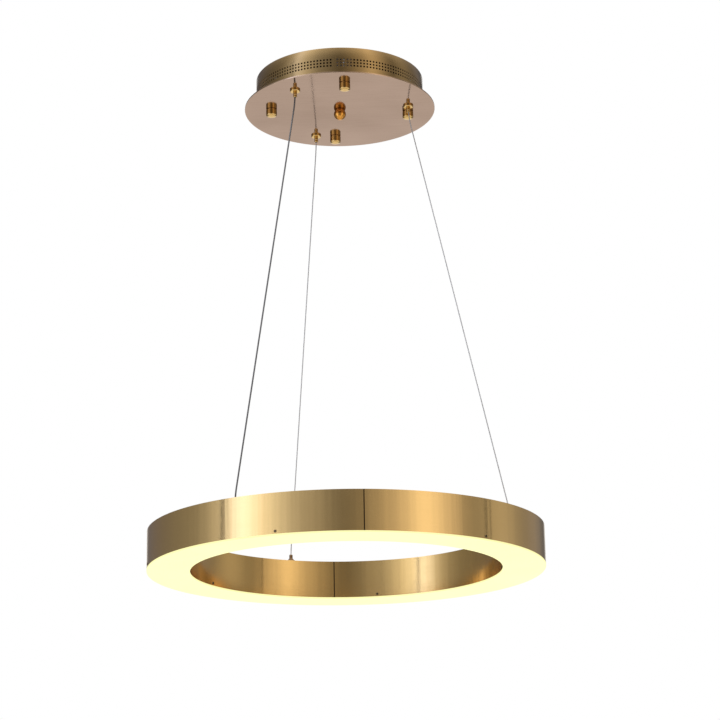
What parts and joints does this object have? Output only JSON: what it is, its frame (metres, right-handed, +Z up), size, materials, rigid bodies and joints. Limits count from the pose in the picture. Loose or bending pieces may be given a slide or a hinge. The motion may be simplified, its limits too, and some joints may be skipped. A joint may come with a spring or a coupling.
{
  "type": "led ring chandelier",
  "caption": "Lit ring of two brass bands with an opal underside, hung by three slanting wires from a round canopy with a perforated drum and push-release cable grippers.",
  "frame": {"origin": "on the ceiling plane, on the canopy's axis", "axes": "+Z up, -Y towards the viewer of the picture, +X to the viewer's right"},
  "size_m": [0.6, 0.6, 0.798],
  "materials": {
    "brushed_brass": "horizontal hairline brushed, antique lacquer",
    "drum_brass": "brushed, darker antique lacquer",
    "rose_bronze": "fine brushed, half mirror",
    "turned_brass": "turned, satin",
    "zinc_steel": "zinc plated",
    "wire_steel": "bare stainless rope",
    "spring_steel": "drawn",
    "channel_coat": "satin lacquer in brass colour",
    "tray_white": "matt white",
    "opal_acrylic": "opal, satin, lit from inside",
    "feed_sheath": "smoky clear sheath over the conductor",
    "board_white": "white solder mask",
    "led_phosphor": "warm white phosphor",
    "driver_case": "moulded",
    "terminal_nylon": "moulded nylon",
    "grommet_rubber": "black rubber"
  },
  "bodies": {
    "canopy": {"ceiling_bracket": "zinc_steel", "inlet_grommet": "grommet_rubber", "bracket_studs": "zinc_steel", "stud_lock_nuts": "zinc_steel", "centre_rod": "zinc_steel", "centre_lock_nut": "zinc_steel", "canopy_drum": "drum_brass", "canopy_plate": "rose_bronze", "cap_nuts": "turned_brass", "ball_nut": "turned_brass", "led_driver": "driver_case", "driver_screws": "zinc_steel", "terminal_block": "terminal_nylon", "earth_screw": "zinc_steel", "gripper_bodies": "turned_brass", "gripper_lock_nuts": "zinc_steel", "gripper_caps": "turned_brass", "release_spring_far": "spring_steel", "release_spring_left": "spring_steel", "release_spring_right": "spring_steel", "hanging_wire_far": "wire_steel", "feed_wire_left": "feed_sheath", "hanging_wire_right": "wire_steel"},
    "ring": {"outer_band_left": "brushed_brass", "outer_band_right": "brushed_brass", "inner_band_left": "brushed_brass", "inner_band_right": "brushed_brass", "splice_plates": "zinc_steel", "top_channel_far": "channel_coat", "top_channel_near": "channel_coat", "channel_joint_plates": "zinc_steel", "led_tray_far": "tray_white", "led_tray_near": "tray_white", "tray_posts": "zinc_steel", "tray_screws": "zinc_steel", "led_boards": "board_white", "led_chips": "led_phosphor", "feed_terminal": "terminal_nylon", "diffuser": "opal_acrylic", "outer_band_screws": "turned_brass", "inner_band_screws": "turned_brass", "wire_anchors": "turned_brass", "anchor_lock_nuts": "zinc_steel", "wire_ferrules": "wire_steel"},
    "plunger_far": {"release_plunger_far": "turned_brass", "grip_balls_far": "spring_steel"},
    "plunger_left": {"release_plunger_left": "turned_brass", "grip_balls_left": "spring_steel"},
    "plunger_right": {"release_plunger_right": "turned_brass", "grip_balls_right": "spring_steel"}
  },
  "joints": [
    {"name": "ring_height", "type": "slide", "parent": "canopy", "child": "ring", "axis": [0, 0, 1], "range_m": [-0.5, 0.35], "deforming": ["hanging_wire_far", "feed_wire_left", "hanging_wire_right"]},
    {"name": "release_far", "type": "slide", "parent": "canopy", "child": "plunger_far", "axis": [0, 0, 1], "range_m": [0, 0.002], "stiffness_N_per_m": 400, "springref_m": -0.003, "deforming": ["release_spring_far"]},
    {"name": "release_left", "type": "slide", "parent": "canopy", "child": "plunger_left", "axis": [0, 0, 1], "range_m": [0, 0.002], "stiffness_N_per_m": 400, "springref_m": -0.003, "deforming": ["release_spring_left"]},
    {"name": "release_right", "type": "slide", "parent": "canopy", "child": "plunger_right", "axis": [0, 0, 1], "range_m": [0, 0.002], "stiffness_N_per_m": 400, "springref_m": -0.003, "deforming": ["release_spring_right"]}
  ]
}
